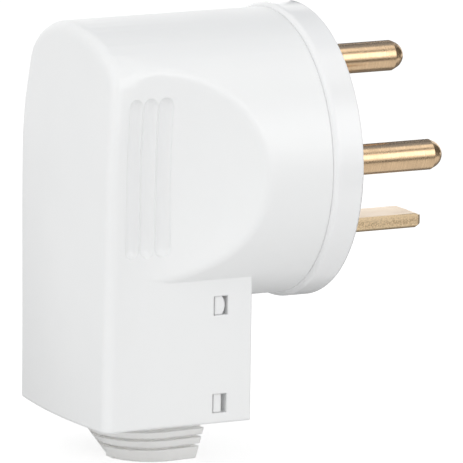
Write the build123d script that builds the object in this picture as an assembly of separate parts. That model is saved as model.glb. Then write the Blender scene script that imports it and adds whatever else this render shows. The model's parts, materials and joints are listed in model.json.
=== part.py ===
from build123d import *
import os

# Right-angle earthed plug, in millimetres.
# The origin is the centre of the face that meets the socket. X runs out along the pins, Z is up,
# and the cord leaves downwards through the boot.

# Round front body and its flange
FLANGE_R = 23.0
FLANGE_T = 5.0
FLANGE_EDGE = 0.4
SHOULDER_R = 0.9
DRUM_R = 22.3
WALL = 2.0

# Tail of the housing, behind and below the round body
HALF_WIDTH = 14.9
BACK_X = -41.2
BACK_CROWN = 1.2
BACK_ARCH_FILLET = 1.8
CORNER_BACK = (-43.2, 8.0, 14.9)
CORNER_FRONT = (-31.0, 1.75, 15.05)
CORNER_LAP = 0.03
CORNER_RUN = 1.5
TAIL_FRONT_X = -15.0
TAIL_BOTTOM_Z = -39.4
TAIL_BOTTOM_EDGE = 0.45
FLOOR = 1.6

# Finger cove on each side: a flat that sweeps out to the round body along a hollow arc
COVE_AXIS_X = -70.0
COVE_AXIS_Z = 0.8
COVE_FLAT_R = 40.0
COVE_R = 16.8
COVE_SWEEP = 62
COVE_RIDGE_FILLET = 1.8

# Three scooped grip grooves on each flat
GRIP_R = 1.35
GRIP_DEPTH = 0.8
GRIP_PITCH = 2.65
GRIP_X = -33.15
GRIP_LENGTH = 25.0
GRIP_COUNT = 3

# Windows for the cover's snap tabs
WINDOW_X = -20.3
WINDOW_W = 2.4
WINDOW_H = 3.0
WINDOW_Z = (-20.8, -36.2)
TAB_X = -20.6
TAB_W = 1.3
TAB_END_GAP = 0.05
TAB_FACE_GAP = 0.25
TAB_NOSE_R = 2.3

# Pins: their centres lie on one circle, and the round ones are 19 mm apart
PIN_CIRCLE_R = 13.4
PIN_R = 2.4
PIN_LENGTH = 18.3
PIN_TIP = 2.1
PIN_NOSE_H = 1.4
PIN_NOSE_R = 2.08
PIN_SEAT_R = 2.75
COLLAR_R = 4.5
COLLAR_T = 1.5
PILLAR_R = 3.5
PILLAR_END_X = -16.0
WIRE_HOLE_X = -10.6
WIRE_HOLE_R = 1.7
BLADE_Z = -12.6
BLADE_W = 6.5
BLADE_T = 2.25
BLADE_LENGTH = 20.8
BLADE_LEAD = 2.35
BLADE_LEAD_DROP = 0.44
BLADE_NOSE_CORNER = 0.7
BLADE_SHOULDER_W = 9.6
BLADE_TAIL_X = -15.5

# Pin base, pin retainer and the two screws that close the plug
SPIGOT_GAP = 0.15
SPIGOT_WALL = 1.8
SPIGOT_END_X = -12.0
RETAINER_T = 2.0
RETAINER_R = 17.9
SHROUD_WALL = 1.5
SHROUD_MOUTH = (4.4, 6.5)
RETAINER_HEAD = (2.4, 1.6)
RETAINER_SCREW_R = 1.0
RETAINER_SCREW_LENGTH = 5.0
RETAINER_HOLE_R = 1.35
RETAINER_HOLE_END_X = -1.5
TERMINAL_HEAD = (2.6, 2.0)
TERMINAL_LENGTH = 3.2
TERMINAL_REACH = 3.0
WIRE_PLATE_T = 0.6
EARTH_HEAD = (2.9, 2.0)
EARTH_LENGTH = 4.2
WASHER_T = 0.8
SCREW_CIRCLE = 9.2
CASE_SCREW_R = 1.75
CASE_SCREW_END_X = -19.0
CASE_HEAD_R = 3.2
CASE_HEAD_T = 2.2
CASE_HEAD_SINK = 1.0
POST_R = 3.6
POST_FRONT_X = -7.3
INSERT_R = 2.6
INSERT_LENGTH = 8.0

# Cover of the tail's front
COVER_T = 1.9
COVER_TOP_Z = -18.9
ARM_T = 1.3
ARM_HALF = 2.0
ARM_END = 0.9

# Cord and its clamp, in front of a saddle on the housing's back wall
CORD_X = -25.7
CORD_R = 4.0
CLAMP_Z = -29.0
CLAMP_H = 7.0
CLAMP_HALF = 11.2
CLAMP_CORNER = 1.5
CLAMP_FRONT_X = CORD_X + 6.5
CLAMP_BACK_X = CORD_X + 2.5
CLAMP_SCREW_Y = 8.2
CLAMP_SCREW_R = 1.5
CLAMP_SCREW_LENGTH = 9.5
CLAMP_HEAD = (2.7, 1.8)
CLAMP_POST_R = 3.0
CLAMP_POST_FRONT_X = CORD_X + 1.3
CLAMP_INSERT_WALL = 0.6
CLAMP_INSERT_LENGTH = 5.5
SADDLE_FRONT_X = CORD_X - 1.4

# Cord boot: a tapering sleeve, round behind and flat in front, with two grooves and a spine
BOOT_FRONT_X = -19.8
BOOT_TOP_Z = -41.4
BOOT_TOP_HALF = 9.0
BOOT_TOP_CENTRE_X = -26.7
BOOT_TOP_BACK = 8.9
BOOT_FOOT_Z = -46.8
BOOT_FOOT_HALF = 6.3
BOOT_FOOT_CENTRE_X = -24.4
BOOT_FOOT_BACK = 7.2
BOOT_DRAW = 0.35
BOOT_FOOT_EDGE = 0.25
BOOT_GROOVE_Z = (-42.75, -44.4)
BOOT_GROOVE_H = 0.5
BOOT_GROOVE_DEPTH = 0.85
SPINE_HALF = 1.25
SPINE_TOP_X = -35.5
SPINE_BEND = (-31.9, -45.1)
SPINE_FOOT_X = -31.75
NECK_HALF = 7.4
NECK_BACK_X = -33.6
COLLAR_HALF = 9.2
COLLAR_BACK_X = -35.4

FIT = 0.1
DRIVE_SLOT_W = 0.8


def rod_x(radius, x_from, x_to, y=0.0, z=0.0):
    """A round bar along X."""
    bar = Rot(0, 90, 0) * Cylinder(radius, abs(x_to - x_from))
    return Pos((x_from + x_to) / 2, y, z) * bar


def rod_z(radius, z_from, z_to, x=0.0, y=0.0):
    """A round bar along Z."""
    bar = Cylinder(radius, abs(z_to - z_from))
    return Pos(x, y, (z_from + z_to) / 2) * bar


def block(x_range, y_range, z_range):
    """A box between two places on each axis."""
    sizes = [abs(high - low) for low, high in (x_range, y_range, z_range)]
    middle = [(high + low) / 2 for low, high in (x_range, y_range, z_range)]
    return Pos(*middle) * Box(*sizes)


def side_cutter(side, wall):
    """What is cut away beside the flat and the cove, drawn in by the wall.

    The outline turns about an axis parallel to Y, far behind the plug, so the flat stays flat
    and the hollow arc that leaves it curves both ways.
    """
    floor = HALF_WIDTH - wall
    outside = DRUM_R + 2 * FLANGE_T
    flat = Line((0, floor), (COVE_FLAT_R, floor))
    hollow = JernArc(flat @ 1, (1, 0), COVE_R + wall, COVE_SWEEP)
    rise = Line(hollow @ 1, ((hollow @ 1).X, outside))
    over = Line(rise @ 1, (0, outside))
    face = make_face([flat, hollow, rise, over, Line(over @ 1, flat @ 0)])
    cutter = Pos(COVE_AXIS_X, 0, COVE_AXIS_Z) * revolve(face, Axis.Y)
    return cutter if side > 0 else mirror(cutter, Plane.XZ)


def drum(wall):
    """The round body with its two flats and coves, drawn in by the wall."""
    body = rod_x(DRUM_R - wall, BACK_X - 2, -FLANGE_T)
    for side in (-1, 1):
        body -= side_cutter(side, wall)
    return body


def back_round(wall):
    """The upright round form that gives the back face its crown."""
    radius = (HALF_WIDTH ** 2 + BACK_CROWN ** 2) / (2 * BACK_CROWN)
    return rod_z(radius - wall, -60, 60, BACK_X + radius)


def corner_section(x, radius, half_width):
    """What lies outside the round blend of one upper corner at one place along X.

    The blend touches the drum inside and the flat, and both its ends run on outwards at a
    shallow angle, so the cut leaves no step.
    """
    y = half_width - radius
    z = ((DRUM_R - radius) ** 2 - y ** 2) ** 0.5
    turn = Vector(y, z).get_angle(Vector(1, 0))
    arc = CenterArc((y, z), radius + CORNER_LAP, 0, turn)
    run_in = arc @ 0 + Vector(CORNER_RUN / 10, -CORNER_RUN)
    run_out = arc @ 1 + CORNER_RUN * (arc % 1) + CORNER_RUN / 10 * Vector(y, z).normalized()
    blend = Spline(run_in, arc @ 0, arc @ 0.33, arc @ 0.67, arc @ 1, run_out)
    reach = DRUM_R + FLANGE_T
    outside = Polyline(run_out, (run_out.X, reach), (reach, reach), (reach, run_in.Y), run_in)
    return Plane.YZ.offset(x) * make_face(blend + outside)


def housing_outside():
    """The housing as a full solid, with its outer edges eased."""
    body = drum(0)
    ridges = [e for e in body.edges() if abs(e.center().Y) > HALF_WIDTH - 1 and e.bounding_box().size.X > 3]
    body = fillet(ridges, COVE_RIDGE_FILLET)
    corner = loft([corner_section(*CORNER_BACK), corner_section(*CORNER_FRONT)])
    body -= corner
    body -= mirror(corner, Plane.XZ)
    body += block((BACK_X - 2, TAIL_FRONT_X), (-HALF_WIDTH, HALF_WIDTH), (TAIL_BOTTOM_Z, 0))
    body &= back_round(0)
    back = body.faces().sort_by(Axis.X)[0]
    foot = back.edges().sort_by(Axis.Z)[0]
    arch = [e for e in back.edges() if e.center().Z > foot.center().Z + 1]
    body = fillet(arch, BACK_ARCH_FILLET)
    bottom = body.faces().sort_by(Axis.Z)[0]
    rim = [e for e in bottom.edges() if e.center().X < TAIL_FRONT_X - 1]
    return fillet(rim, TAIL_BOTTOM_EDGE)


def housing_inside():
    """The space inside the housing, open to the flange and to the front of the tail."""
    space = drum(WALL)
    half = HALF_WIDTH - WALL
    space += block((BACK_X - 2, TAIL_FRONT_X), (-half, half), (TAIL_BOTTOM_Z + FLOOR, 0))
    return space & back_round(WALL)


def grip_groove(x, side):
    """One scooped groove, cut by a round-ended bar."""
    y = side * (HALF_WIDTH + GRIP_R - GRIP_DEPTH)
    reach = GRIP_LENGTH / 2 - GRIP_R
    bar = rod_z(GRIP_R, -reach, reach, x, y)
    for z in (-reach, reach):
        bar += Pos(x, y, z) * Sphere(GRIP_R)
    return bar


def floor_slot(half, front_x, back_x):
    """Outline of the neck's slot in the floor: straight sides and a half-round end."""
    straight = back_x + half * 0.6
    side = Line((front_x, half), (straight, half))
    end = ThreePointArc(side @ 1, (back_x, 0), (straight, -half))
    back = Line(end @ 1, (front_x, -half))
    return make_face([side, end, back, Line(back @ 1, side @ 0)])


def slab(face, z_from, z_to):
    """A flat outline made solid between two heights."""
    return Pos(0, 0, z_from) * extrude(face, z_to - z_from)


def screw_places():
    """Places of the two case screws, across the plug from each other, as Y and Z."""
    return ((SCREW_CIRCLE, SCREW_CIRCLE), (-SCREW_CIRCLE, -SCREW_CIRCLE))


def retainer_places():
    """Places of the two retainer screws, on the other diagonal, as Y and Z."""
    return ((-SCREW_CIRCLE, SCREW_CIRCLE), (SCREW_CIRCLE, -SCREW_CIRCLE))


def housing():
    """The one-piece case with its posts, cord saddle, grips and windows."""
    outside = housing_outside()
    shell = outside - housing_inside()
    inner = WALL / 2
    back_inside = BACK_X + inner
    fittings = []
    for y, z in screw_places():
        fittings.append(rod_x(POST_R, back_inside, POST_FRONT_X, y, z))
    for side in (-1, 1):
        post = rod_x(CLAMP_POST_R, back_inside, CLAMP_POST_FRONT_X, side * CLAMP_SCREW_Y, CLAMP_Z)
        fittings.append(post)
    high = CLAMP_H / 2
    width = (-CLAMP_SCREW_Y, CLAMP_SCREW_Y)
    saddle = block((back_inside, SADDLE_FRONT_X), width, (CLAMP_Z - high, CLAMP_Z + high))
    saddle -= rod_z(CORD_R, CLAMP_Z - CLAMP_H, CLAMP_Z + CLAMP_H, CORD_X)
    fittings.append(saddle)
    for piece in fittings:
        shell += piece & outside
    for y, z in screw_places():
        shell -= rod_x(INSERT_R, POST_FRONT_X, POST_FRONT_X - INSERT_LENGTH, y, z)
        shell -= rod_x(CASE_SCREW_R + FIT, POST_FRONT_X, CASE_SCREW_END_X - 1, y, z)
    for side in (-1, 1):
        y = side * CLAMP_SCREW_Y
        depth = CLAMP_POST_FRONT_X - CLAMP_INSERT_LENGTH
        shell -= rod_x(CLAMP_SCREW_R + CLAMP_INSERT_WALL, CLAMP_POST_FRONT_X, depth - FIT, y, CLAMP_Z)
    for side in (-1, 1):
        for step in range(GRIP_COUNT):
            x = GRIP_X + (step - (GRIP_COUNT - 1) / 2) * GRIP_PITCH
            shell -= grip_groove(x, side)
        for z in WINDOW_Z:
            reach = sorted((side * (HALF_WIDTH - WALL - 1), side * (HALF_WIDTH + 1)))
            half = WINDOW_W / 2
            shell -= block((WINDOW_X - half, WINDOW_X + half), reach, (z - WINDOW_H / 2, z + WINDOW_H / 2))
    slot = floor_slot(NECK_HALF + FIT, TAIL_FRONT_X + 1, NECK_BACK_X - FIT)
    shell -= slab(slot, TAIL_BOTTOM_Z - 1, TAIL_BOTTOM_Z + FLOOR + 1)
    return shell


def pin_base():
    """The flanged disc that holds the pins, with its spigot inside the housing."""
    disc = rod_x(FLANGE_R, -FLANGE_T, 0)
    disc = fillet(disc.edges().filter_by(GeomType.CIRCLE).sort_by(Axis.X)[0], SHOULDER_R)
    disc = fillet(disc.edges().filter_by(GeomType.CIRCLE).sort_by(Axis.X)[-1], FLANGE_EDGE)
    outer = DRUM_R - WALL - SPIGOT_GAP
    spigot = rod_x(outer, SPIGOT_END_X, -FLANGE_T) - rod_x(outer - SPIGOT_WALL, SPIGOT_END_X, -FLANGE_T)
    base = disc + spigot
    for y, z in ((0, PIN_CIRCLE_R), (-PIN_CIRCLE_R, 0)):
        base -= rod_x(PIN_SEAT_R, -FLANGE_T, 0, y, z)
        base -= rod_x(COLLAR_R + FIT, -FLANGE_T, COLLAR_T - FLANGE_T, y, z)
    half = BLADE_W / 2 + FIT
    thick = BLADE_T / 2 + FIT
    base -= block((-FLANGE_T, 0), (-half, half), (BLADE_Z - thick, BLADE_Z + thick))
    shoulder = BLADE_SHOULDER_W / 2 + FIT
    base -= block((-FLANGE_T, COLLAR_T - FLANGE_T), (-shoulder, shoulder), (BLADE_Z - thick, BLADE_Z + thick))
    for y, z in screw_places():
        base -= rod_x(CASE_SCREW_R + 2 * FIT, -FLANGE_T, 0, y, z)
        base -= rod_x(CASE_HEAD_R + 2 * FIT, -CASE_HEAD_SINK - CASE_HEAD_T, 0, y, z)
    for y, z in retainer_places():
        base -= rod_x(RETAINER_SCREW_R, -FLANGE_T, RETAINER_HOLE_END_X, y, z)
    return base


def round_pin(y, z):
    """A turned pin: domed tip, stepped seat, collar and a drilled pillar for the wire."""
    nose_x = PIN_LENGTH - PIN_NOSE_H
    shoulder = COLLAR_T - FLANGE_T
    outline = Polyline(
        (PILLAR_END_X, 0), (PILLAR_END_X, PILLAR_R), (-FLANGE_T, PILLAR_R), (-FLANGE_T, COLLAR_R),
        (shoulder, COLLAR_R), (shoulder, PIN_SEAT_R), (0, PIN_SEAT_R), (0, PIN_R),
        (PIN_LENGTH - PIN_TIP, PIN_R), (nose_x, PIN_NOSE_R))
    dome_r = (PIN_NOSE_R ** 2 + PIN_NOSE_H ** 2) / (2 * PIN_NOSE_H)
    dome = RadiusArc(outline @ 1, (PIN_LENGTH, 0), dome_r)
    pin = revolve(make_face(outline + dome + Line(dome @ 1, outline @ 0)), Axis.X)
    pin -= rod_z(WIRE_HOLE_R, -PILLAR_R - 1, PILLAR_R + 1, WIRE_HOLE_X)
    pin -= rod_x(CASE_SCREW_R, PILLAR_END_X, WIRE_HOLE_X)
    return Pos(0, y, z) * pin


def earth_blade():
    """A blanked strip with a chamfered nose, a shoulder and a drilled tail."""
    half = BLADE_W / 2
    nose = half - BLADE_NOSE_CORNER
    shoulder = BLADE_SHOULDER_W / 2
    shoulder_x = COLLAR_T - FLANGE_T
    upper = [
        (BLADE_TAIL_X, 0), (BLADE_TAIL_X, half), (-FLANGE_T, half), (-FLANGE_T, shoulder),
        (shoulder_x, shoulder), (shoulder_x, half),
        (BLADE_LENGTH - BLADE_NOSE_CORNER, half), (BLADE_LENGTH, nose)]
    lower = [(x, -y) for x, y in reversed(upper[1:])]
    plan = make_face(Polyline(*upper[1:], *lower, upper[1]))
    blade = slab(plan, -BLADE_T / 2, BLADE_T / 2)
    lead = BLADE_LENGTH - BLADE_LEAD
    thick = BLADE_T / 2
    for way in (-1, 1):
        drop = way * (thick - BLADE_LEAD_DROP)
        start = (lead, way * thick)
        wedge = Polyline(start, (BLADE_LENGTH, drop), (BLADE_LENGTH, way * thick), start)
        cutter = Rot(90, 0, 0) * extrude(make_face(wedge), BLADE_W, both=True)
        blade -= cutter
    blade -= rod_z(CASE_SCREW_R, -BLADE_T, BLADE_T, WIRE_HOLE_X)
    return Pos(0, 0, BLADE_Z) * blade


def slotted_screw(head_r, head_t, shank_r, length):
    """A screw along X, its head's face at X = 0 and its shank behind, with a plain drive slot."""
    head = rod_x(head_r, -head_t, 0)
    head = fillet(head.edges().filter_by(GeomType.CIRCLE).sort_by(Axis.X)[-1], head_t * 0.25)
    screw = head + rod_x(shank_r, -head_t - length, -head_t)
    screw -= block((-head_t * 0.45, 1), (-DRIVE_SLOT_W / 2, DRIVE_SLOT_W / 2), (-head_r - 1, head_r + 1))
    return screw


def case_screw(y, z):
    """A screw that closes the plug, with its head sunk in the socket face."""
    shank = -CASE_SCREW_END_X - CASE_HEAD_SINK - CASE_HEAD_T
    return Pos(-CASE_HEAD_SINK, y, z) * slotted_screw(CASE_HEAD_R, CASE_HEAD_T, CASE_SCREW_R - 0.02, shank)


def case_insert(y, z):
    """A brass thread insert at the front of a post."""
    back = POST_FRONT_X - INSERT_LENGTH
    return rod_x(INSERT_R, back, POST_FRONT_X, y, z) - rod_x(CASE_SCREW_R, back, POST_FRONT_X, y, z)


def pin_retainer():
    """The plate that holds the pins in the base, with a shroud round each round pin's pillar."""
    front = -FLANGE_T - FIT / 2
    back = front - RETAINER_T
    plate = rod_x(RETAINER_R, back, front)
    for y, z in ((0, PIN_CIRCLE_R), (-PIN_CIRCLE_R, 0)):
        ring = rod_x(PILLAR_R + SHROUD_WALL, SPIGOT_END_X, front, y, z)
        ring &= rod_x(RETAINER_R, SPIGOT_END_X, front)
        width, depth = SHROUD_MOUTH
        plate += ring - block((SPIGOT_END_X, back), (y - width / 2, y + width / 2), (z - depth, z))
        plate -= rod_x(PILLAR_R + FIT, SPIGOT_END_X - 1, front + 1, y, z)
    half = BLADE_W / 2 + FIT
    thick = BLADE_T / 2 + FIT
    plate -= block((back, front), (-half, half), (BLADE_Z - thick, BLADE_Z + thick))
    for y, z in screw_places():
        plate -= rod_x(CASE_SCREW_R + 2 * FIT, back, front, y, z)
    for y, z in retainer_places():
        plate -= rod_x(RETAINER_HOLE_R, back, front, y, z)
    return plate


def retainer_screw(y, z):
    """A small screw from behind, through the retainer and into the base."""
    screw = mirror(slotted_screw(*RETAINER_HEAD, RETAINER_SCREW_R - FIT / 5, RETAINER_SCREW_LENGTH), Plane.YZ)
    back = -FLANGE_T - FIT / 2 - RETAINER_T
    return Pos(back - RETAINER_HEAD[1], y, z) * screw


def pin_terminal_screw(y, z):
    """The screw in the pillar's end, which pins the wire down on its plate."""
    screw = mirror(slotted_screw(*TERMINAL_HEAD, CASE_SCREW_R - FIT / 2, TERMINAL_LENGTH), Plane.YZ)
    return Pos(PILLAR_END_X + TERMINAL_REACH - TERMINAL_LENGTH - TERMINAL_HEAD[1], y, z) * screw


def pin_wire_plate(y, z):
    """The small disc between that screw and the wire."""
    tip = PILLAR_END_X + TERMINAL_REACH + FIT
    return rod_x(CASE_SCREW_R - FIT, tip, tip + WIRE_PLATE_T, y, z)


def earth_screw():
    """The screw that clamps the earth wire down on the blade's tail."""
    screw = Rot(0, -90, 0) * slotted_screw(*EARTH_HEAD, CASE_SCREW_R - FIT / 2, EARTH_LENGTH)
    return Pos(WIRE_HOLE_X, 0, BLADE_Z + BLADE_T / 2 + WASHER_T + EARTH_HEAD[1]) * screw


def earth_washer():
    """The square saddle washer under that screw."""
    low = BLADE_Z + BLADE_T / 2
    half = EARTH_HEAD[0]
    saddle = block((WIRE_HOLE_X - half, WIRE_HOLE_X + half), (-half, half), (low, low + WASHER_T))
    return saddle - rod_z(CASE_SCREW_R + FIT, low - 1, low + 2, WIRE_HOLE_X)


def cover_top_clear():
    """What the drum's cut end takes away in front of the cover's top tongue."""
    return rod_x(DRUM_R + 0.15, TAIL_FRONT_X - 0.15, TAIL_FRONT_X + 1)


def snap_tab(side, z, rounded):
    """One snap tab, seen in a window; the upper ones have a round front edge."""
    inside = HALF_WIDTH - WALL - FIT
    reach = sorted((side * inside, side * (HALF_WIDTH - TAB_FACE_GAP)))
    high = WINDOW_H / 2 - TAB_END_GAP
    front = TAB_X + TAB_W / 2
    tab = block((TAB_X - TAB_W / 2, front), reach, (z - high, z + high))
    if rounded:
        nose = Rot(90, 0, 0) * Cylinder(TAB_NOSE_R, 2 * HALF_WIDTH + 2)
        tab += block((front, front + TAB_W), reach, (z - high, z + high))
        tab &= Pos(front + TAB_W / 3 - TAB_NOSE_R, 0, z) * nose
    return tab


def cable_cover():
    """The panel that closes the front of the tail, held by four snap arms."""
    half = HALF_WIDTH - WALL - FIT
    panel_back = TAIL_FRONT_X - COVER_T
    floor_top = TAIL_BOTTOM_Z + FLOOR + FIT
    panel = block((panel_back, TAIL_FRONT_X), (-half, half), (floor_top, COVER_TOP_Z))
    lip = slab(floor_slot(NECK_HALF, TAIL_FRONT_X, NECK_BACK_X), TAIL_BOTTOM_Z, floor_top)
    lip &= block((BOOT_FRONT_X + 4 * FIT, TAIL_FRONT_X), (-half, half), (TAIL_BOTTOM_Z, floor_top))
    cover = panel + lip - cover_top_clear()
    arm_back = WINDOW_X - WINDOW_W / 2 - ARM_END
    for side in (-1, 1):
        for z in WINDOW_Z:
            arm = (max(z - ARM_HALF, floor_top), min(z + ARM_HALF, COVER_TOP_Z))
            wall = sorted((side * (half - ARM_T), side * half))
            cover += block((arm_back, panel_back), wall, arm)
            cover += snap_tab(side, z, z == WINDOW_Z[0])
    return cover


def cord_clamp():
    """The bar that presses the cord against the housing's saddle."""
    high = CLAMP_H / 2
    bar = block((CLAMP_BACK_X, CLAMP_FRONT_X), (-CLAMP_HALF, CLAMP_HALF), (CLAMP_Z - high, CLAMP_Z + high))
    bar = fillet(bar.edges().filter_by(Axis.X), CLAMP_CORNER)
    bar -= rod_z(CORD_R, CLAMP_Z - CLAMP_H, CLAMP_Z + CLAMP_H, CORD_X)
    for side in (-1, 1):
        y = side * CLAMP_SCREW_Y
        bar -= rod_x(CLAMP_SCREW_R + FIT, CLAMP_BACK_X, CLAMP_FRONT_X, y, CLAMP_Z)
    return bar


def clamp_screw(side):
    """A screw that draws the clamp bar down."""
    screw = slotted_screw(*CLAMP_HEAD, CLAMP_SCREW_R - FIT / 2, CLAMP_SCREW_LENGTH)
    return Pos(CLAMP_FRONT_X + CLAMP_HEAD[1], side * CLAMP_SCREW_Y, CLAMP_Z) * screw


def clamp_insert(side):
    """A brass thread insert in a clamp post."""
    y = side * CLAMP_SCREW_Y
    back = CLAMP_POST_FRONT_X - CLAMP_INSERT_LENGTH
    outer = rod_x(CLAMP_SCREW_R + CLAMP_INSERT_WALL, back, CLAMP_POST_FRONT_X, y, CLAMP_Z)
    return outer - rod_x(CLAMP_SCREW_R, back, CLAMP_POST_FRONT_X, y, CLAMP_Z)


def boot_plan(half, centre_x, back, z, inset=0.0):
    """The boot's outline at one height: a flat front, sides that draw in to it, a round back."""
    wide = half - inset
    front = BOOT_FRONT_X - inset
    near = Line((front, wide - BOOT_DRAW), (centre_x, wide))
    rear = EllipticalCenterArc((centre_x, 0), back - inset, wide, start_angle=90, arc_size=180)
    far = Line((centre_x, -wide), (front, BOOT_DRAW - wide))
    return Pos(0, 0, z) * make_face([near, rear, far, Line(far @ 1, near @ 0)])


def boot_taper(inset=0.0):
    """The boot from its top to its foot, drawn in by the inset."""
    top = boot_plan(BOOT_TOP_HALF, BOOT_TOP_CENTRE_X, BOOT_TOP_BACK, BOOT_TOP_Z, inset)
    foot = boot_plan(BOOT_FOOT_HALF, BOOT_FOOT_CENTRE_X, BOOT_FOOT_BACK, BOOT_FOOT_Z, inset)
    return loft([top, foot])


def boot_spine():
    """The narrow web up the boot's back, which stiffens it across the grooves."""
    outline = Polyline(
        (CORD_X, BOOT_TOP_Z), (SPINE_TOP_X, BOOT_TOP_Z), SPINE_BEND, (SPINE_FOOT_X, BOOT_FOOT_Z),
        (CORD_X, BOOT_FOOT_Z), (CORD_X, BOOT_TOP_Z))
    return extrude(Plane.XZ * make_face(outline), SPINE_HALF, both=True)


def cable_boot():
    """The flexible stepped sleeve that the cord leaves through."""
    boot = boot_taper()
    boot = fillet(boot.faces().sort_by(Axis.Z)[0].edges(), BOOT_FOOT_EDGE)
    core = boot_taper(BOOT_GROOVE_DEPTH)
    for z in BOOT_GROOVE_Z:
        band = (z - BOOT_GROOVE_H / 2, z + BOOT_GROOVE_H / 2)
        boot -= block((BACK_X, TAIL_FRONT_X), (-HALF_WIDTH, HALF_WIDTH), band) - core
    boot += boot_spine()
    floor_top = TAIL_BOTTOM_Z + FLOOR + FIT
    boot += slab(floor_slot(NECK_HALF, BOOT_FRONT_X, NECK_BACK_X), BOOT_TOP_Z, floor_top)
    boot += slab(floor_slot(COLLAR_HALF, BOOT_FRONT_X - 0.5, COLLAR_BACK_X), floor_top, floor_top + COLLAR_T)
    return boot - rod_z(CORD_R, BOOT_FOOT_Z - 1, floor_top + 2 * COLLAR_T, CORD_X)


def parts():
    """Every piece of the plug by its node's name."""
    top = (0, PIN_CIRCLE_R)
    side = (-PIN_CIRCLE_R, 0)
    upper, lower = screw_places()
    left, right = retainer_places()
    return {
        "housing": housing(),
        "pin_base": pin_base(),
        "cable_cover": cable_cover(),
        "cable_boot": cable_boot(),
        "top_pin": round_pin(*top),
        "side_pin": round_pin(*side),
        "earth_blade": earth_blade(),
        "top_terminal_screw": pin_terminal_screw(*top),
        "side_terminal_screw": pin_terminal_screw(*side),
        "earth_screw": earth_screw(),
        "top_wire_plate": pin_wire_plate(*top),
        "side_wire_plate": pin_wire_plate(*side),
        "earth_washer": earth_washer(),
        "pin_retainer": pin_retainer(),
        "retainer_screw_a": retainer_screw(*left),
        "retainer_screw_b": retainer_screw(*right),
        "case_screw_upper": case_screw(*upper),
        "case_screw_lower": case_screw(*lower),
        "case_insert_upper": case_insert(*upper),
        "case_insert_lower": case_insert(*lower),
        "cord_clamp": cord_clamp(),
        "clamp_screw_left": clamp_screw(-1),
        "clamp_screw_right": clamp_screw(1),
        "clamp_insert_left": clamp_insert(-1),
        "clamp_insert_right": clamp_insert(1),
    }


os.makedirs("parts", exist_ok=True)
for name, piece in parts().items():
    export_step(piece, os.path.join("parts", name + ".step"))
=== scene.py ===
"""Looks of the right-angle earthed plug: finishes, two reshaped pieces, studio and camera.

Sizes are in metres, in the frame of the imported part. The origin is the centre of the face that
meets the socket, X runs out along the pins, Z is up, and the cord leaves downwards.
"""

import json
import logging
import math
from dataclasses import dataclass
from enum import Enum
from typing import ClassVar

import bmesh
import bpy
from bpy.types import Material, Node, NodeSocket, NodeTree, Object
from mathutils import Matrix, Vector

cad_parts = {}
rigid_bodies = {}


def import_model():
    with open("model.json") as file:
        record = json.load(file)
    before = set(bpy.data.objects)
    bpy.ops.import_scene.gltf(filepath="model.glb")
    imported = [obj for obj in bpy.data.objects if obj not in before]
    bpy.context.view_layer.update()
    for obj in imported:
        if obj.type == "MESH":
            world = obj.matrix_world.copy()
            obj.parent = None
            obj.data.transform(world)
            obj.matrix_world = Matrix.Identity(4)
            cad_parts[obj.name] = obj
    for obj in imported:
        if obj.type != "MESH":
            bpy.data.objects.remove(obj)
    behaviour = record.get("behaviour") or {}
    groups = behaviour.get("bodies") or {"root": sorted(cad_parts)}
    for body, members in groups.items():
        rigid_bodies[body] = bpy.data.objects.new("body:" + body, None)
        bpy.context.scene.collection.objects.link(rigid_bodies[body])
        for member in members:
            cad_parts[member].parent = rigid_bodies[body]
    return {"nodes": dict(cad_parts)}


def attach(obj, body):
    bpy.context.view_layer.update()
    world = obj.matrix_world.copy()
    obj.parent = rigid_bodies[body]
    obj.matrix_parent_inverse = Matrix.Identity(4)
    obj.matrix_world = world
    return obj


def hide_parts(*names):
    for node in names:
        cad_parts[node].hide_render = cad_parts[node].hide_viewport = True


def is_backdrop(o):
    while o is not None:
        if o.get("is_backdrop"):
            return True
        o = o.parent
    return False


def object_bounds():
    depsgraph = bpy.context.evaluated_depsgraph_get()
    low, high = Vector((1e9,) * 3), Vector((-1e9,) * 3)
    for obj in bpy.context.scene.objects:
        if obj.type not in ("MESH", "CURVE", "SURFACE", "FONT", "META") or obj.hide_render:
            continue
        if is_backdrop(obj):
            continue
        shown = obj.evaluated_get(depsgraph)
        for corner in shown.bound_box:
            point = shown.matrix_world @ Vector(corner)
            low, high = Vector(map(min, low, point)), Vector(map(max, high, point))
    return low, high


MM = 0.001
BODY = "root"
LOG = logging.getLogger("plug")

Value = float | int | bool | str | tuple | Vector | NodeSocket
Colour = tuple[float, float, float, float]
Span = tuple[float, float]
Triple = tuple[float, float, float]

WHOLE: Span = (0.0, 1.0)
UP: Triple = (0.0, 0.0, 1.0)


def colour(red: float, green: float, blue: float) -> Colour:
    """Gives a colour its full opacity."""
    return (red, green, blue, 1.0)


def grey(tone: float) -> Colour:
    """Gives an even grey."""
    return colour(tone, tone, tone)


WHITE = grey(1.0)
COOL = colour(0.88, 1.0, 1.25)


class Slot(Enum):
    """The record's material slots."""

    CASE = "case_plastic"
    FLANGE = "flange_plastic"
    BOOT = "boot_pvc"
    PIN = "pin_brass"
    BLADE = "blade_brass"
    SCREW = "screw_steel"
    INNER = "inner_plastic"


class MixKind(Enum):
    """What a Mix node mixes: its data type, then the numbers of both inputs and of its output."""

    NUMBER = ("FLOAT", 2, 3, 0)
    COLOUR = ("RGBA", 6, 7, 2)


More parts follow.
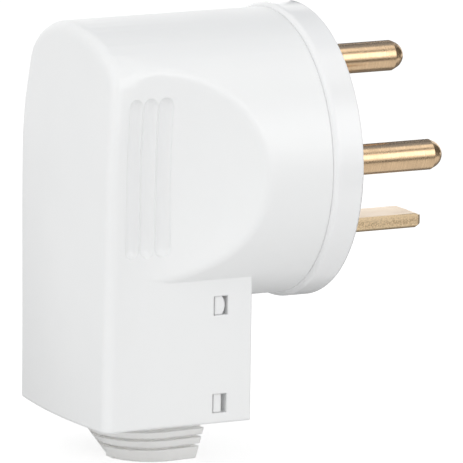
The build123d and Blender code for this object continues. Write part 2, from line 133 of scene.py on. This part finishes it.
class Graph:
    """A node tree with short ways to add nodes and join them."""

    def __init__(self, tree: NodeTree) -> None:
        """Keeps the tree."""
        self.tree = tree

    def add(self, kind: str, inputs: dict[str | int, Value] | None = None,
            **settings: Value) -> Node:
        """Adds one node.

        Args:
            kind: The node's type, without its ShaderNode prefix.
            inputs: Values, or sockets to link, by the input's name or number.
            **settings: Properties of the node itself.

        Returns:
            The new node.
        """
        node = self.tree.nodes.new("ShaderNode" + kind)
        for name, value in settings.items():
            setattr(node, name, value)
        for key, value in (inputs or {}).items():
            self.feed(node.inputs[key], value)
        return node

    def feed(self, socket: NodeSocket, value: Value) -> None:
        """Links a socket to an input, or sets its value.

        Args:
            socket: The input.
            value: A socket to link, or a plain value.
        """
        if isinstance(value, NodeSocket):
            self.tree.links.new(value, socket)
        else:
            socket.default_value = value

    def math(self, operation: str, *values: Value, clamp: bool = False) -> NodeSocket:
        """Adds a Math node on one to three numbers or sockets, and gives its output."""
        node = self.add("Math", dict(enumerate(values)), operation=operation, use_clamp=clamp)
        return node.outputs[0]

    def mix(self, kind: MixKind, factor: Value, low: Value, high: Value) -> NodeSocket:
        """Mixes two numbers or two colours.

        Args:
            kind: Which of them.
            factor: 0 for the first, 1 for the second.
            low: The first.
            high: The second.

        Returns:
            The mix.
        """
        data_type, first, second, result = kind.value
        node = self.add("Mix", {0: factor, first: low, second: high}, data_type=data_type)
        return node.outputs[result]

    def remap(self, value: Value, source: Span, target: Span = WHOLE) -> NodeSocket:
        """Maps one range onto another, clamped.

        Args:
            value: What is mapped.
            source: Start and end of the range it has.
            target: What the start and the end become.

        Returns:
            The mapped value.
        """
        inputs = {"Value": value, "From Min": source[0], "From Max": source[1],
                  "To Min": target[0], "To Max": target[1]}
        return self.add("MapRange", inputs).outputs["Result"]

    def noise(self, place: Value, scale: Value, detail: float, roughness: float,
              distortion: float = 0.0) -> NodeSocket:
        """Adds a noise pattern in space.

        Args:
            place: Where it is read.
            scale: How many times it repeats in a metre.
            detail: How many finer layers it has.
            roughness: How strong these are.
            distortion: How far it is stirred.

        Returns:
            The pattern.
        """
        inputs = {"Vector": place, "Scale": scale, "Detail": detail, "Roughness": roughness,
                  "Distortion": distortion}
        return self.add("TexNoise", inputs).outputs[0]

    def piece_place(self) -> NodeSocket:
        """Gives the place in the piece's own coordinates."""
        return self.add("TexCoord").outputs["Object"]

    def rounded_normal(self, radius: Value, samples: int) -> NodeSocket:
        """Gives the normal as if the edges had a radius, which this many rays look for."""
        return self.add("Bevel", {"Radius": radius}, samples=samples).outputs[0]

    def place_group(self, group: NodeTree, inputs: dict[str, Value] | None = None) -> Node:
        """Places a node group with its own values.

        Args:
            group: The node group.
            inputs: Values by the input's name.

        Returns:
            The group node.
        """
        node = self.add("Group")
        node.node_tree = group
        for name, value in (inputs or {}).items():
            self.feed(node.inputs[name], value)
        return node

    def seen_directly(self) -> NodeSocket:
        """Gives 1 to rays that show the background: to the camera, in a mirror or through glass.

        Returns:
            The mask.
        """
        path = self.add("LightPath")
        seen = self.math("MAXIMUM", path.outputs["Is Camera Ray"], path.outputs["Is Glossy Ray"])
        return self.math("MAXIMUM", seen, path.outputs["Is Transmission Ray"])


class EffectGroup(Graph):
    """A shader node group with named number inputs and outputs."""

    def __init__(self, name: str, inputs: dict[str, float], outputs: tuple[str, ...]) -> None:
        """Makes the empty group.

        Args:
            name: The group's name.
            inputs: Each input with its usual value.
            outputs: Names of the outputs.
        """
        super().__init__(bpy.data.node_groups.new(name, "ShaderNodeTree"))
        for socket, usual in inputs.items():
            self.new_socket(socket, "INPUT").default_value = usual
        for socket in outputs:
            self.new_socket(socket, "OUTPUT")
        self.enter = self.tree.nodes.new("NodeGroupInput")
        self.leave = self.tree.nodes.new("NodeGroupOutput")

    def new_socket(self, name: str, side: str) -> bpy.types.NodeTreeInterfaceSocket:
        """Makes one number socket on the group's INPUT or OUTPUT side."""
        return self.tree.interface.new_socket(name, in_out=side, socket_type="NodeSocketFloat")

    def given(self, name: str) -> NodeSocket:
        """Gives one of the group's inputs."""
        return self.enter.outputs[name]

    def put_out(self, name: str, value: NodeSocket) -> None:
        """Feeds one of the group's outputs."""
        self.feed(self.leave.inputs[name], value)


class Effects:
    """The shader node groups that more than one finish uses."""

    blotch_span: Span = (0.32, 0.68)
    speck_span: Span = (0.35, 0.7)
    edge_span: Span = (0.97, 0.75)
    edge_samples: int = 6
    streak_stretch: Triple = (0.08, 1.0, 1.0)

    def __init__(self) -> None:
        """Builds each group once."""
        self.grain = self.build_grain()
        self.patina = self.build_patina()
        self.turning = self.build_turning()
        self.edges = self.build_edges()

    def build_grain(self) -> NodeTree:
        """Builds the fine skin of a moulded surface with its slow unevenness.

        Returns:
            The group, which puts out Height and Cloud.
        """
        group = EffectGroup("moulded_grain", {"Grain": 4000.0, "Cloud": 60.0}, ("Height", "Cloud"))
        place = group.piece_place()
        fine = group.noise(place, group.given("Grain"), detail=2.0, roughness=0.6)
        slow = group.noise(place, group.given("Cloud"), detail=3.0, roughness=0.5)
        group.put_out("Height", fine)
        group.put_out("Cloud", slow)
        return group.tree

    def build_patina(self) -> NodeTree:
        """Builds the blotches and specks of a handled metal surface.

        Returns:
            The group, which puts out Blotch and Speck.
        """
        group = EffectGroup("metal_patina", {"Blotch": 350.0, "Speck": 3200.0}, ("Blotch", "Speck"))
        place = group.piece_place()
        blotch = group.noise(
            place, group.given("Blotch"), detail=4.0, roughness=0.62, distortion=0.4)
        speck = group.noise(place, group.given("Speck"), detail=2.0, roughness=0.7)
        group.put_out("Blotch", group.remap(blotch, self.blotch_span))
        group.put_out("Speck", group.remap(speck, self.speck_span))
        return group.tree

    def build_turning(self) -> NodeTree:
        """Builds the uneven rings that a lathe leaves round the X axis, and faint streaks along it.

        Returns:
            The group, which puts out Rings and Streaks.
        """
        group = EffectGroup("turning_marks", {"Rings": 9000.0, "Streaks": 2200.0},
                            ("Rings", "Streaks"))
        place = group.piece_place()
        along = group.add("SeparateXYZ", {0: place}).outputs["X"]
        ring = {"W": group.math("MULTIPLY", along, group.given("Rings")), "Scale": 1.0,
                "Detail": 3.0, "Roughness": 0.75}
        rings = group.add("TexNoise", ring, noise_dimensions="1D").outputs[0]
        drawn = group.add("Mapping", {"Vector": place, "Scale": self.streak_stretch}).outputs[0]
        streaks = group.noise(drawn, group.given("Streaks"), detail=2.0, roughness=0.6)
        group.put_out("Rings", rings)
        group.put_out("Streaks", streaks)
        return group.tree

    def build_edges(self) -> NodeTree:
        """Builds a mask of the edges, from how far a rounded normal leaves the true one.

        Returns:
            The group, which puts out Edge.
        """
        group = EffectGroup("edge_mask", {"Radius": 0.0003}, ("Edge",))
        normals = {0: group.rounded_normal(group.given("Radius"), self.edge_samples),
                   1: group.add("NewGeometry").outputs["Normal"]}
        alike = group.add("VectorMath", normals, operation="DOT_PRODUCT").outputs["Value"]
        group.put_out("Edge", group.remap(alike, self.edge_span))
        return group.tree


def empty_material(name: str) -> Material:
    """Makes a material with an empty node tree.

    Args:
        name: The material's name.

    Returns:
        The material.
    """
    material = bpy.data.materials.new(name)
    material.use_nodes = True
    material.node_tree.nodes.clear()
    return material


class Surface(Graph):
    """A material's node tree with its Principled shader."""

    def __init__(self, name: str) -> None:
        """Makes the material.

        Args:
            name: The material's name.
        """
        self.material = empty_material(name)
        super().__init__(self.material.node_tree)
        self.shader = self.add("BsdfPrincipled")
        self.add("OutputMaterial", {"Surface": self.shader.outputs[0]})

    def put(self, values: dict[str, Value]) -> None:
        """Feeds inputs of the shader, by their names."""
        for name, value in values.items():
            self.feed(self.shader.inputs[name], value)


@dataclass(frozen=True)
class MouldedPlastic:
    """A moulded plastic or soft PVC surface."""

    name: str
    base: Colour
    shade: Colour
    roughness: Span
    cloud_span: Span = (0.3, 0.7)
    grain: float = 4200.0
    grain_depth: float = 0.000006
    grain_strength: float = 0.6
    edge_radius: float = 0.0003
    edge_samples: int = 6
    # Painted highlight: a pale colour mixed into the base colour along the edges, and how much of
    # it.
    edge_highlight_colour: Colour = grey(0.97)
    edge_highlight_share: float = 0.25
    refraction: float = 1.5
    specular: float = 0.5
    coat: float = 0.0
    coat_roughness: float = 0.12
    sheen: float = 0.0
    scatter: float = 0.06
    scatter_ratio: Triple = (1.0, 0.95, 0.9)
    scatter_reach: float = 0.0012

    def make(self, effects: Effects) -> Material:
        """Builds the material.

        Args:
            effects: The shared node groups.

        Returns:
            The finished material.
        """
        surface = Surface(self.name)
        grain = surface.place_group(effects.grain, {"Grain": self.grain})
        edges = surface.place_group(effects.edges, {"Radius": self.edge_radius})
        cloud = surface.remap(grain.outputs["Cloud"], self.cloud_span)
        body = surface.mix(MixKind.COLOUR, cloud, self.base, self.shade)
        # Painted highlight: the base colour is lifted towards a pale grey along the edges.
        painted_edge_highlight = surface.math("MULTIPLY", edges.outputs["Edge"], self.edge_highlight_share)
        bump = surface.add("Bump", {
            "Height": grain.outputs["Height"],
            "Strength": self.grain_strength,
            "Distance": self.grain_depth,
            "Normal": surface.rounded_normal(self.edge_radius, self.edge_samples),
        })
        surface.put({
            "Base Color": surface.mix(MixKind.COLOUR, painted_edge_highlight, body, self.edge_highlight_colour),
            "Roughness": surface.remap(cloud, WHOLE, self.roughness),
            "Normal": bump.outputs[0],
            "IOR": self.refraction,
            "Specular IOR Level": self.specular,
            "Coat Weight": self.coat,
            "Coat Roughness": self.coat_roughness,
            "Sheen Weight": self.sheen,
            "Subsurface Weight": self.scatter,
            "Subsurface Radius": self.scatter_ratio,
            "Subsurface Scale": self.scatter_reach,
        })
        return surface.material


@dataclass(frozen=True)
class TurnedMetal:
    """A turned metal surface with lathe rings round the X axis."""

    name: str
    bright: Colour
    dull: Colour
    roughness: Span
    rings: float = 5000.0
    ring_span: Span = (0.3, 0.7)
    ring_depth: float = 0.000008
    ring_strength: float = 0.7
    ring_tone: Span = (0.0, 0.55)
    blotch_tone: float = 0.30
    streak_tone: float = 0.15
    ring_wear: float = 0.6
    blotch_wear: float = 0.4
    wear_span: Span = (0.2, 0.8)
    edge_radius: float = 0.00015
    edge_samples: int = 4

    def make(self, effects: Effects) -> Material:
        """Builds the material.

        Args:
            effects: The shared node groups.

        Returns:
            The finished material.
        """
        surface = Surface(self.name)
        turning = surface.place_group(effects.turning, {"Rings": self.rings}).outputs
        blotch = surface.place_group(effects.patina).outputs["Blotch"]
        rings = turning["Rings"]
        tone = surface.math("MULTIPLY", blotch, self.blotch_tone)
        streaks = surface.math("MULTIPLY", turning["Streaks"], self.streak_tone)
        tone = surface.math("ADD", tone, streaks)
        ring_tone = surface.remap(rings, self.ring_span, self.ring_tone)
        tone = surface.math("ADD", tone, ring_tone, clamp=True)
        wear = surface.math("MULTIPLY", rings, self.ring_wear)
        wear = surface.math(
            "ADD", wear, surface.math("MULTIPLY", blotch, self.blotch_wear), clamp=True)
        bump = surface.add("Bump", {
            "Height": rings,
            "Strength": self.ring_strength,
            "Distance": self.ring_depth,
            "Normal": surface.rounded_normal(self.edge_radius, self.edge_samples),
        })
        surface.put({
            "Base Color": surface.mix(MixKind.COLOUR, tone, self.bright, self.dull),
            "Roughness": surface.remap(wear, self.wear_span, self.roughness),
            "Normal": bump.outputs[0],
            "Metallic": 1.0,
        })
        return surface.material


@dataclass(frozen=True)
class BlankedBrass:
    """Rolled strip with smooth faces and coarse sheared edges."""

    name: str = "blanked_brass"
    face: Colour = colour(0.92, 0.76, 0.58)
    edge_bright: Colour = colour(0.95, 0.74, 0.48)
    edge_dull: Colour = colour(0.40, 0.28, 0.16)
    painted_shade: Colour = colour(0.26, 0.20, 0.13)
    # Painted shade: the dark colour laid along the bottom of the edge faces and on the edges near
    # the nose.
    speck: float = 3900.0
    streaks: float = 3000.0
    middle_z: float = -0.0126
    thickness: float = 0.00225
    edge_tilt: Span = (0.75, 0.55)
    torn_middle: float = 0.45
    torn_reach: Span = (0.1, 0.4)
    torn_share: Span = (1.0, 0.35)
    painted_shade_height: Span = (0.17, 0.06)
    painted_shade_radius: float = 0.0003
    taper_x: Span = (0.0165, 0.0175)
    streak_span: Span = (0.3, 0.7)
    face_roughness: Span = (0.30, 0.42)
    edge_roughness: Span = (0.32, 0.55)
    face_bump: Span = (0.05, 1.0)
    bump_strength: float = 0.8
    bump_depth: float = 0.00002

    def make(self, effects: Effects) -> Material:
        """Builds the material.

        Args:
            effects: The shared node groups.

        Returns:
            The finished material.
        """
        surface = Surface(self.name)
        speck = surface.place_group(effects.patina, {"Speck": self.speck}).outputs["Speck"]
        turning = surface.place_group(effects.turning, {"Streaks": self.streaks})
        normal = surface.add("NewGeometry").outputs["Normal"]
        upright = surface.add("SeparateXYZ", {0: normal}).outputs["Z"]
        edge = surface.remap(surface.math("ABSOLUTE", upright), self.edge_tilt)
        place = surface.add("SeparateXYZ", {0: surface.piece_place()})

        half = self.thickness / 2
        limits = (self.middle_z - half, self.middle_z + half)
        height_part = surface.remap(place.outputs["Z"], limits)
        off_middle = surface.math(
            "ABSOLUTE", surface.math("SUBTRACT", height_part, self.torn_middle))
        torn = surface.math(
            "MULTIPLY", speck, surface.remap(off_middle, self.torn_reach, self.torn_share))
        rough_edge = surface.mix(MixKind.COLOUR, torn, self.edge_bright, self.edge_dull)
        body = surface.mix(MixKind.COLOUR, edge, self.face, rough_edge)

        # Painted shade: a dark line along the bottom of the edge faces, and on the edges near the
        # nose.
        corner = surface.place_group(effects.edges, {"Radius": self.painted_shade_radius}).outputs["Edge"]
        below = surface.remap(height_part, self.painted_shade_height)
        taper = surface.remap(place.outputs["X"], self.taper_x)
        nose = surface.math("MULTIPLY", corner, taper)
        painted_shade = surface.math("MAXIMUM", below, nose, clamp=True)

        face_rough = surface.remap(turning.outputs["Streaks"], self.streak_span,
                                   self.face_roughness)
        edge_rough = surface.remap(speck, WHOLE, self.edge_roughness)
        height = surface.math("MULTIPLY", speck, surface.remap(edge, WHOLE, self.face_bump))
        bump = surface.add("Bump", {"Height": height, "Strength": self.bump_strength,
                                    "Distance": self.bump_depth})
        surface.put({
            "Base Color": surface.mix(MixKind.COLOUR, painted_shade, body, self.painted_shade),
            "Roughness": surface.mix(MixKind.NUMBER, edge, face_rough, edge_rough),
            "Normal": bump.outputs[0],
            "Metallic": 1.0,
        })
        return surface.material


class Finishes:
    """Every finish of the plug, one material for each slot."""

    choices: ClassVar[dict[Slot, MouldedPlastic | TurnedMetal | BlankedBrass]] = {
        Slot.CASE: MouldedPlastic(
            "satin_case", colour(0.90, 0.905, 0.905), colour(0.885, 0.89, 0.892),
            roughness=(0.34, 0.42)),
        Slot.FLANGE: MouldedPlastic(
            "gloss_flange", colour(0.905, 0.908, 0.912), colour(0.892, 0.896, 0.90),
            roughness=(0.20, 0.27), grain_depth=0.000003, coat=0.15),
        Slot.BOOT: MouldedPlastic(
            "soft_pvc", colour(0.985, 0.98, 0.962), colour(0.97, 0.965, 0.945),
            roughness=(0.42, 0.52), grain=3000.0, grain_depth=0.00001, sheen=0.2, scatter=0.25),
        Slot.INNER: MouldedPlastic(
            "inner_moulding", colour(0.86, 0.86, 0.85), colour(0.84, 0.84, 0.83),
            roughness=(0.38, 0.5)),
        Slot.PIN: TurnedMetal(
            "turned_brass", colour(0.92, 0.66, 0.41), colour(0.60, 0.43, 0.27),
            roughness=(0.17, 0.33)),
        Slot.BLADE: BlankedBrass(),
        Slot.SCREW: TurnedMetal(
            "zinc_steel", colour(0.66, 0.67, 0.68), colour(0.50, 0.50, 0.52),
            roughness=(0.25, 0.40), ring_depth=0.000004),
    }

    def __init__(self) -> None:
        """Builds the shared effects and then each material."""
        effects = Effects()
        self.materials = {slot: finish.make(effects) for slot, finish in self.choices.items()}

    def dress(self, piece: Object, slot: Slot) -> None:
        """Gives a piece its finish.

        Args:
            piece: A node of the part or a new piece.
            slot: The material slot.
        """
        if not piece.material_slots:
            piece.data.materials.append(self.materials[slot])
        for holder in piece.material_slots:
            holder.material = self.materials[slot]
        LOG.info("dressed %s as %s", piece.name, slot.value)


def object_from(shape: bmesh.types.BMesh, name: str) -> Object:
    """Turns a finished shape into an object at the origin.

    Args:
        shape: The shape, which is freed.
        name: The object's name.

    Returns:
        The new object, in the scene.
    """
    mesh = bpy.data.meshes.new(name)
    shape.to_mesh(mesh)
    shape.free()
    made = bpy.data.objects.new(name, mesh)
    bpy.context.scene.collection.objects.link(made)
    return made


def ease(value: float, start: float, end: float) -> float:
    """Goes smoothly from 0 at one place to 1 at another.

    Args:
        value: The place.
        start: Where it is 0.
        end: Where it is 1.

    Returns:
        The eased share.
    """
    share = min(max((value - start) / (end - start), 0.0), 1.0)
    return share * share * (3.0 - 2.0 * share)


@dataclass
class Reshaped:
    """A merged copy of a node whose points are moved a little, and which stands for the node.

    An edge stays sharp where its two faces meet at sharp_angle or more.
    """

    source: Object
    name: str
    sharp_angle: float
    merge_gap: float = 0.000001

    def divide(self, shape: bmesh.types.BMesh) -> None:
        """Cuts the faces that must bend; here none."""

    def moved(self, place: Vector) -> Vector:
        """Moves one point; here it stays."""
        return place

    def build(self) -> Object:
        """Makes the piece.

        Returns:
            The new object, at the origin.
        """
        shape = bmesh.new()
        shape.from_mesh(self.source.data)
        bmesh.ops.remove_doubles(shape, verts=shape.verts, dist=self.merge_gap)
        self.divide(shape)
        for vert in shape.verts:
            vert.co = self.moved(vert.co)
        for edge in shape.edges:
            edge.smooth = edge.calc_face_angle(0.0) < self.sharp_angle
        for face in shape.faces:
            face.smooth = True
        piece = object_from(shape, self.name)
        shading = piece.modifiers.new("even_shading", "WEIGHTED_NORMAL")
        shading.keep_sharp = True
        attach(piece, BODY)
        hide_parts(self.source.name)
        LOG.info("piece %s: %d faces", self.name, len(piece.data.polygons))
        return piece


@dataclass
class BladeTip(Reshaped):
    """The earth blade with the short lead of a stamped nose."""

    name: str = "stamped_blade"
    sharp_angle: float = math.radians(12.0)
    lead_from: float = 0.01845
    lead_to: float = 0.01955
    lead_reach: float = 0.0001

    def moved(self, place: Vector) -> Vector:
        """Moves the points where the lead starts.

        Args:
            place: Where one is.

        Returns:
            Where it goes.
        """
        if abs(place.x - self.lead_from) < self.lead_reach:
            return Vector((self.lead_to, place.y, place.z))
        return place


@dataclass
class GripShell(Reshaped):
    """The housing with its back as it is held: it leans forward at the top and flares at the sides.

    The cuts are in millimetres, and each span is the start and the end of a change.
    """

    name: str = "housing_shell"
    sharp_angle: float = math.radians(32.0)
    back_x: float = -0.0412
    lean: float = 0.0012
    lean_z: Span = (0.0, 0.021)
    lean_gone_x: float = -0.022
    flare: Span = (0.00055, 0.0012)
    flare_z: Span = (-0.036, -0.002)
    flare_fade_z: Span = (0.006, 0.019)
    flare_gone_x: float = -0.0335
    flare_wall_y: Span = (0.009, 0.013)
    cuts_x: range = range(-40, -29)
    cuts_z: range = range(-38, 22, 2)
    cut_gap: float = 0.000002

    def divide(self, shape: bmesh.types.BMesh) -> None:
        """Cuts the flat faces into strips that can follow a curve.

        Args:
            shape: The merged housing.
        """
        across = [(Vector((x * MM, 0, 0)), Vector((1, 0, 0))) for x in self.cuts_x]
        along = [(Vector((0, 0, z * MM)), Vector((0, 0, 1))) for z in self.cuts_z]
        for place, normal in across + along:
            everything = shape.verts[:] + shape.edges[:] + shape.faces[:]
            bmesh.ops.bisect_plane(
                shape, geom=everything, dist=self.cut_gap, plane_co=place, plane_no=normal)

    def moved(self, place: Vector) -> Vector:
        """Moves one point of the housing.

        Args:
            place: Where it is.

        Returns:
            Where it goes.
        """
        reach = (self.lean_gone_x - place.x) / (self.lean_gone_x - self.back_x)
        lean = self.lean * ease(place.z, *self.lean_z) * min(max(reach, 0.0), 1.0)
        low, high = self.flare
        flare = low + (high - low) * ease(place.z, *self.flare_z)
        flare *= 1.0 - ease(place.z, *self.flare_fade_z)
        back = ease(-place.x, -self.flare_gone_x, -self.back_x)
        flare *= back * ease(abs(place.y), *self.flare_wall_y)
        return place + Vector((lean, math.copysign(flare, place.y), 0.0))


@dataclass
class Assembly:
    """Pieces of the plug that belong together, each with its finish."""

    nodes: dict[str, Object]
    finishes: Finishes
    names: ClassVar[dict[Slot, tuple[str, ...]]] = {}

    def build(self) -> None:
        """Dresses each piece."""
        for slot, names in self.names.items():
            for name in names:
                self.finishes.dress(self.nodes[name], slot)


@dataclass
class Casing(Assembly):
    """The white mouldings, with the shell that stands for the housing."""

    names: ClassVar[dict[Slot, tuple[str, ...]]] = {
        Slot.CASE: ("housing", "cable_cover"),
        Slot.FLANGE: ("pin_base",),
        Slot.BOOT: ("cable_boot",),
        Slot.INNER: ("pin_retainer", "cord_clamp"),
    }

    def build(self) -> None:
        """Dresses each moulding, and shapes the shell."""
        super().build()
        self.finishes.dress(GripShell(self.nodes["housing"]).build(), Slot.CASE)


@dataclass
class Contacts(Assembly):
    """The brass pins and blade, with the copy that stands for the blade."""

    names: ClassVar[dict[Slot, tuple[str, ...]]] = {
        Slot.PIN: ("top_pin", "side_pin"),
        Slot.BLADE: ("earth_blade",),
        Slot.SCREW: ("top_terminal_screw", "side_terminal_screw", "top_wire_plate",
                     "side_wire_plate", "earth_screw", "earth_washer"),
    }

    def build(self) -> None:
        """Dresses the pins, the blade and the terminals, and shapes the blade's copy."""
        super().build()
        self.finishes.dress(BladeTip(self.nodes["earth_blade"]).build(), Slot.BLADE)


@dataclass
class Fasteners(Assembly):
    """The screws and inserts that hold the case, the retainer and the clamp."""

    names: ClassVar[dict[Slot, tuple[str, ...]]] = {
        Slot.PIN: ("case_insert_upper", "case_insert_lower", "clamp_insert_left",
                   "clamp_insert_right"),
        Slot.SCREW: ("case_screw_upper", "case_screw_lower", "retainer_screw_a",
                     "retainer_screw_b", "clamp_screw_left", "clamp_screw_right"),
    }


def flat_sheet(name: str, width: float, height: float, centre: Vector, facing: Vector) -> Object:
    """Makes a flat rectangle for the studio.

    Args:
        name: Its name.
        width: Its width.
        height: Its height.
        centre: Its middle.
        facing: The way that its front looks.

    Returns:
        The new object, at the origin.
    """
    shape = bmesh.new()
    bmesh.ops.create_grid(shape, x_segments=1, y_segments=1, size=0.5)
    bmesh.ops.scale(shape, vec=Vector((width, height, 1.0)), verts=shape.verts)
    turn = facing.to_track_quat("Z", "Y").to_matrix().to_4x4()
    bmesh.ops.transform(shape, matrix=Matrix.Translation(centre) @ turn, verts=shape.verts)
    sheet = object_from(shape, name)
    sheet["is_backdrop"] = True
    return sheet


@dataclass(frozen=True)
class Card:
    """A glowing card that only mirrors show. A tone of 1 is white."""

    name: str
    width: float
    height: float
    centre: Triple
    facing: Triple
    tone: float
    tint: Colour = WHITE

    def build(self, base_z: float = 0.0) -> None:
        """Stands the card.

        Args:
            base_z: The height from which its centre is measured.
        """
        x, y, z = self.centre
        place = Vector((x, y, z + base_z))
        sheet = flat_sheet(self.name, self.width, self.height, place, Vector(self.facing))
        material = empty_material(self.name)
        graph = Graph(material.node_tree)
        glow = graph.add("Emission", {"Color": self.tint, "Strength": self.tone})
        graph.add("OutputMaterial", {"Surface": glow.outputs[0]})
        sheet.data.materials.append(material)
        sheet.visible_camera = False
        sheet.visible_diffuse = False
        sheet.visible_transmission = False
        sheet.visible_shadow = False


@dataclass(frozen=True)
class SoftBox:
    """A rectangular lamp that mirrors don't show. Its power is in watts."""

    name: str
    width: float
    height: float
    centre: Triple
    target: Triple
    power: float

    def build(self) -> None:
        """Hangs the lamp."""
        light = bpy.data.lights.new(self.name, "AREA")
        light.shape = "RECTANGLE"
        light.size = self.width
        light.size_y = self.height
        light.energy = self.power
        lamp = bpy.data.objects.new(self.name, light)
        lamp.visible_glossy = False
        place = Vector(self.centre)
        turn = (place - Vector(self.target)).to_track_quat("Z", "Y").to_matrix().to_4x4()
        lamp.matrix_world = Matrix.Translation(place) @ turn
        bpy.context.scene.collection.objects.link(lamp)


@dataclass
class Studio:
    """The pale floor, the white surround, the lamps and the cards that the metal mirrors.

    The mats are cards that lie just above the floor, so their heights are measured from it.
    """

    floor_z: float
    floor_size: float = 30.0
    lit_albedo: float = 0.78
    shown_albedo: float = 0.50
    shown_glow: float = 0.66
    ambient: float = 0.79
    ambient_tint: Colour = colour(0.988, 0.992, 0.992)
    lamps: ClassVar[tuple[SoftBox, ...]] = (  # width, height, centre, target, power
        SoftBox("front_box", 0.9, 0.7, (0.28, -0.95, 0.34), (0, 0, 0), 0.9),
        SoftBox("left_box", 0.8, 0.8, (-0.95, -0.27, 0.60), (0, 0, -0.01), 2.4),
        SoftBox("low_box", 0.9, 0.1, (0.0, -1.0, 0.02), (0, 0, 0), 0.9),
    )
    cards: ClassVar[tuple[Card, ...]] = (  # width, height, centre, facing, tone, tint
        Card("front_white", 1.3, 0.60, (0.534, -0.985, 0.42), (-0.445, 0.821, -0.35), 2.2),
        Card("front_gap", 1.1, 0.20, (0.534, -0.646, 0.858), (-0.445, 0.539, -0.715), 0.10),
        Card("top_white", 1.0, 0.34, (0.49, -0.255, 0.951), (-0.445, 0.232, -0.864), 1.25),
        Card("top_grey", 1.1, 0.50, (0.49, 0.23, 0.957), (-0.445, -0.209, -0.870), 0.36, COOL),
        Card("rear_grey", 1.1, 0.50, (0.49, 0.606, 0.777), (-0.445, -0.551, -0.706), 0.20, COOL),
        Card("rear_white", 1.6, 0.50, (0.49, 0.96, 0.217), (-0.445, -0.873, -0.197), 1.35),
        Card("rear_dark", 0.045, 0.030, (0.0415, 0.04, 0.023), (0, -1, 0), 0.10, COOL),
        Card("side_dark", 1.5, 0.95, (1.2, 0.15, 0.43), (-1, 0, 0), 0.12),
    )
    mats: ClassVar[tuple[Card, ...]] = (
        Card("mat_dark", 1.4, 0.50, (0.18, -0.37, MM), UP, 0.16),
        Card("mat_grey", 0.3, 0.12, (0.10, -0.06, MM), UP, 0.80),
        Card("mat_rear", 0.4, 0.35, (0.12, 0.175, MM), UP, 0.22),
        Card("mat_end", 0.9, 0.13, (0.71, -0.055, MM), UP, 0.12),
    )

    def build(self) -> None:
        """Sets up the whole studio."""
        self.build_floor()
        self.build_surround()
        for lamp in self.lamps:
            lamp.build()
        for card in self.cards:
            card.build()
        for mat in self.mats:
            mat.build(self.floor_z)

    def build_floor(self) -> None:
        """Makes the white floor, which keeps the plug's shadow and isn't seen from below."""
        centre = Vector((0, 0, self.floor_z))
        floor = flat_sheet("floor", self.floor_size, self.floor_size, centre, Vector(UP))
        material = empty_material("studio_floor")
        graph = Graph(material.node_tree)
        lit = graph.add("BsdfDiffuse", {"Color": grey(self.lit_albedo)}).outputs[0]
        pale = graph.add("BsdfDiffuse", {"Color": grey(self.shown_albedo)}).outputs[0]
        glow = graph.add("Emission", {"Strength": self.shown_glow}).outputs[0]
        shown = graph.add("AddShader", {0: pale, 1: glow}).outputs[0]
        face = graph.add("MixShader", {0: graph.seen_directly(), 1: lit, 2: shown}).outputs[0]
        clear = graph.add("BsdfTransparent").outputs[0]
        below = graph.add("NewGeometry").outputs["Backfacing"]
        both = graph.add("MixShader", {0: below, 1: face, 2: clear}).outputs[0]
        graph.add("OutputMaterial", {"Surface": both})
        floor.data.materials.append(material)
        LOG.info("floor at %.4f", self.floor_z)

    def build_surround(self) -> None:
        """Makes the surround white to the eye and softer as a light."""
        world = bpy.data.worlds.new("studio")
        world.use_nodes = True
        world.node_tree.nodes.clear()
        bpy.context.scene.world = world
        graph = Graph(world.node_tree)
        light = {"Color": self.ambient_tint, "Strength": self.ambient}
        soft = graph.add("Background", light).outputs[0]
        white = graph.add("Background", {"Color": WHITE, "Strength": 1.0}).outputs[0]
        both = graph.add("MixShader", {0: graph.seen_directly(), 1: soft, 2: white}).outputs[0]
        graph.add("OutputWorld", {"Surface": both})


@dataclass(frozen=True)
class Viewpoint:
    """Where the photograph was taken from."""

    eye: Triple = (-0.5887, -1.1335, 0.2428)
    right: Triple = (0.8922, -0.4513, 0.0149)
    up: Triple = (0.0758, 0.1823, 0.9803)
    image_side: int = 463
    focal_pixels: float = 8331.0
    sensor_width: float = 36.0
    nearest: float = 0.05
    farthest: float = 100.0

    def build(self) -> Object:
        """Makes the camera.

        Returns:
            The camera.
        """
        data = bpy.data.cameras.new("camera")
        data.sensor_width = self.sensor_width
        data.lens = self.focal_pixels / self.image_side * self.sensor_width
        data.clip_start = self.nearest
        data.clip_end = self.farthest
        camera = bpy.data.objects.new("camera", data)
        right = Vector(self.right).normalized()
        back = right.cross(Vector(self.up)).normalized()
        turn = Matrix((right, back.cross(right), back)).transposed().to_4x4()
        camera.matrix_world = Matrix.Translation(Vector(self.eye)) @ turn
        bpy.context.scene.collection.objects.link(camera)
        bpy.context.scene.camera = camera
        return camera


def main() -> None:
    """Builds the plug's looks and its studio, with the floor at the bottom of the part's box."""
    logging.basicConfig(level=logging.INFO, format="%(message)s")
    for left_over in list(bpy.data.objects):
        bpy.data.objects.remove(left_over)
    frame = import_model()
    cad_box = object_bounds()
    bpy.context.scene.view_settings.view_transform = "Standard"
    Viewpoint().build()
    finishes = Finishes()
    for assembly in (Casing, Contacts, Fasteners):
        assembly(frame["nodes"], finishes).build()
    Studio(floor_z=cad_box[0].z).build()


if __name__ == "__main__":
    main()
